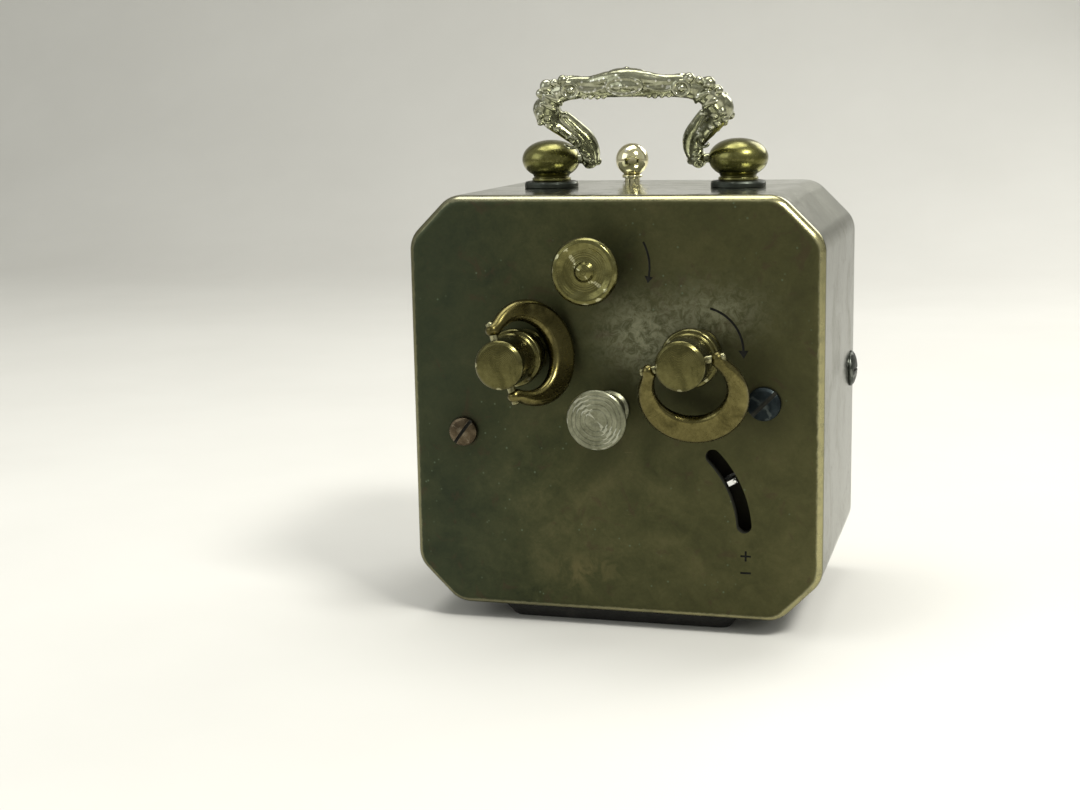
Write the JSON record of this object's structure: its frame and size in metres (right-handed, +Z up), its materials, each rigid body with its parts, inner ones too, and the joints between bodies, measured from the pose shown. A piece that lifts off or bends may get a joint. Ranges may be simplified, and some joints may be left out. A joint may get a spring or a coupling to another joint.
{
  "type": "carriage alarm clock",
  "caption": "Small octagonal brass travel alarm clock with a folding cast handle, winding keys with folding bails, setting knobs and a simplified geared movement.",
  "frame": {"origin": "centre of the base plate's underside", "axes": "+Z up; the dial and glass face -Y; the back with keys and knobs faces +Y; +X is the clock's left as seen from the back"},
  "size_m": [0.062, 0.055, 0.0796],
  "materials": {
    "patinated_brass": "dark olive patina on polished brass, bright worn edges",
    "black_felt": "matt black pad",
    "glass": "clear flat glass",
    "dial_card": "cream enamel with dark numerals",
    "turned_brass": "turned, dulled in the recesses",
    "polished_brass": "polished",
    "cast_handle": "cast, silvery worn brass",
    "nickel": "dull nickel with turning rings",
    "dark_steel": "dark, oiled",
    "copper_screw": "copper brown, tarnished",
    "blued_steel": "blued",
    "movement_brass": "rolled brass",
    "movement_steel": "plain steel"
  },
  "bodies": {
    "case": {"case_body": "patinated_brass", "front_bezel": "turned_brass", "glass": "glass", "dial": "dial_card", "base_plate": "black_felt", "handle_post_left": "turned_brass", "handle_post_right": "turned_brass", "post_washer_left": "dark_steel", "post_washer_right": "dark_steel", "movement_screw_copper": "copper_screw", "movement_screw_blued": "blued_steel", "side_screw_left": "dark_steel", "side_screw_right": "dark_steel", "movement_front_plate": "movement_brass", "movement_back_plate": "movement_brass", "pillar_top": "movement_brass", "pillar_bottom": "movement_brass", "pillar_side": "movement_brass", "movement_post_copper_screw": "movement_brass", "movement_post_blued_screw": "movement_brass", "hairspring": "blued_steel"},
    "handle": {"handle": "cast_handle"},
    "stop_button": {"alarm_stop_button": "polished_brass"},
    "time_winding": {"time_winding_arbor": "movement_steel", "time_ratchet_wheel": "movement_steel", "time_winding_key": "turned_brass"},
    "time_bail": {"time_key_bail": "turned_brass"},
    "alarm_winding": {"alarm_winding_arbor": "movement_steel", "alarm_ratchet_wheel": "movement_steel", "alarm_winding_key": "turned_brass"},
    "alarm_bail": {"alarm_key_bail": "turned_brass"},
    "time_click": {"time_click": "movement_steel"},
    "alarm_click": {"alarm_click": "movement_steel"},
    "hand_setting": {"centre_arbor": "movement_steel", "cannon_pinion": "movement_steel", "minute_hand": "dark_steel", "hand_set_knob": "nickel"},
    "hour": {"hour_wheel": "movement_brass", "hour_hand": "dark_steel"},
    "minute_wheel": {"minute_wheel": "movement_brass"},
    "fourth_wheel": {"fourth_wheel": "movement_brass"},
    "third_wheel": {"third_wheel": "movement_brass"},
    "centre_wheel": {"centre_wheel": "movement_brass"},
    "time_barrel": {"time_barrel": "movement_brass", "time_mainspring": "blued_steel"},
    "escape_wheel": {"escape_wheel": "movement_steel"},
    "pallet_lever": {"pallet_lever": "movement_steel"},
    "balance": {"balance_wheel": "movement_brass"},
    "regulator": {"regulator_lever": "movement_steel"},
    "alarm_barrel": {"alarm_barrel": "movement_brass", "alarm_mainspring": "blued_steel"},
    "alarm_escape": {"alarm_escape_wheel": "movement_steel"},
    "hammer": {"alarm_hammer": "movement_steel"},
    "alarm_setting": {"alarm_set_arbor": "movement_steel", "alarm_set_knob": "turned_brass"},
    "alarm_disc": {"alarm_wheel": "movement_brass", "alarm_hand": "polished_brass"}
  },
  "joints": [
    {"name": "handle_fold", "type": "hinge", "parent": "case", "child": "handle", "pos_m": [0, 0, 0.06705], "axis": [1, 0, 0], "range_deg": [-48, 111]},
    {"name": "stop_button_slide", "type": "slide", "parent": "case", "child": "stop_button", "axis": [0, 0, 1], "range_m": [0, 0.002]},
    {"name": "time_winding_turn", "type": "hinge", "parent": "case", "child": "time_winding", "pos_m": [-0.0126, 0, 0.0411], "axis": [0, -1, 0], "range_deg": [0, 2610]},
    {"name": "time_bail_fold", "type": "hinge", "parent": "time_winding", "child": "time_bail", "pos_m": [-0.0126, 0.0321, 0.0411], "axis": [0.9781, 0, -0.2079], "range_deg": [-30, 262]},
    {"name": "alarm_winding_turn", "type": "hinge", "parent": "case", "child": "alarm_winding", "pos_m": [0.0124, 0, 0.0406], "axis": [0, -1, 0], "range_deg": [0, 2610]},
    {"name": "alarm_bail_fold", "type": "hinge", "parent": "alarm_winding", "child": "alarm_bail", "pos_m": [0.0124, 0.0321, 0.0406], "axis": [-0.309, 0, -0.9511], "range_deg": [0, 293]},
    {"name": "time_click_lift", "type": "hinge", "parent": "case", "child": "time_click", "pos_m": [-0.01388, 0, 0.04839], "axis": [0, -1, 0], "range_deg": [0, 12]},
    {"name": "alarm_click_lift", "type": "hinge", "parent": "case", "child": "alarm_click", "pos_m": [0.01368, 0, 0.03331], "axis": [0, -1, 0], "range_deg": [0, 12]},
    {"name": "hand_setting_turn", "type": "hinge", "parent": "case", "child": "hand_setting", "pos_m": [0, 0, 0.0326], "axis": [0, 1, 0], "continuous": true},
    {"name": "hour_turn", "type": "hinge", "parent": "case", "child": "hour", "pos_m": [0, 0, 0.0326], "axis": [0, 1, 0], "continuous": true},
    {"name": "minute_wheel_turn", "type": "hinge", "parent": "case", "child": "minute_wheel", "pos_m": [0.00566, 0, 0.02694], "axis": [0, 1, 0], "continuous": true},
    {"name": "fourth_wheel_turn", "type": "hinge", "parent": "case", "child": "fourth_wheel", "pos_m": [0.01623, 0, 0.01902], "axis": [0, 1, 0], "continuous": true},
    {"name": "third_wheel_turn", "type": "hinge", "parent": "case", "child": "third_wheel", "pos_m": [0.01075, 0, 0.02727], "axis": [0, 1, 0], "continuous": true},
    {"name": "centre_wheel_turn", "type": "hinge", "parent": "case", "child": "centre_wheel", "pos_m": [0, 0, 0.0326], "axis": [0, 1, 0], "continuous": true},
    {"name": "time_barrel_turn", "type": "hinge", "parent": "case", "child": "time_barrel", "pos_m": [-0.0126, 0, 0.0411], "axis": [0, 1, 0], "continuous": true},
    {"name": "escape_wheel_turn", "type": "hinge", "parent": "case", "child": "escape_wheel", "pos_m": [0.009, 0, 0.014], "axis": [0, 1, 0], "continuous": true},
    {"name": "pallet_rock", "type": "hinge", "parent": "case", "child": "pallet_lever", "pos_m": [0.00339, 0, 0.01454], "axis": [0, 1, 0], "range_deg": [-4, 4]},
    {"name": "balance_swing", "type": "hinge", "parent": "case", "child": "balance", "pos_m": [-0.00338, 0, 0.0152], "axis": [0, 1, 0], "range_deg": [-135, 135]},
    {"name": "regulator_turn", "type": "hinge", "parent": "case", "child": "regulator", "pos_m": [-0.00338, 0, 0.0152], "axis": [0, 1, 0], "range_deg": [-22, 15]},
    {"name": "alarm_barrel_turn", "type": "hinge", "parent": "case", "child": "alarm_barrel", "pos_m": [0.0124, 0, 0.0406], "axis": [0, 1, 0], "continuous": true},
    {"name": "alarm_escape_turn", "type": "hinge", "parent": "case", "child": "alarm_escape", "pos_m": [0.00719, 0, 0.05152], "axis": [0, 1, 0], "continuous": true},
    {"name": "hammer_rock", "type": "hinge", "parent": "case", "child": "hammer", "pos_m": [0.0158, 0, 0.0542], "axis": [0, 1, 0], "range_deg": [-5, 5]},
    {"name": "alarm_setting_turn", "type": "hinge", "parent": "case", "child": "alarm_setting", "pos_m": [0.0019, 0, 0.0528], "axis": [0, 1, 0], "continuous": true},
    {"name": "alarm_disc_turn", "type": "hinge", "parent": "case", "child": "alarm_disc", "pos_m": [0, 0, 0.0326], "axis": [0, 1, 0], "continuous": true}
  ],
  "couplings": [
    {"joint": "hour_turn", "follows": "hand_setting_turn", "ratio": 0.083333},
    {"joint": "minute_wheel_turn", "follows": "hand_setting_turn", "ratio": -0.33333},
    {"joint": "third_wheel_turn", "follows": "fourth_wheel_turn", "ratio": -0.14286},
    {"joint": "centre_wheel_turn", "follows": "fourth_wheel_turn", "ratio": 0.020408},
    {"joint": "time_barrel_turn", "follows": "fourth_wheel_turn", "ratio": -0.0038873},
    {"joint": "escape_wheel_turn", "follows": "fourth_wheel_turn", "ratio": -7},
    {"joint": "alarm_escape_turn", "follows": "alarm_barrel_turn", "ratio": -4.5},
    {"joint": "alarm_disc_turn", "follows": "alarm_setting_turn", "ratio": -0.4}
  ]
}
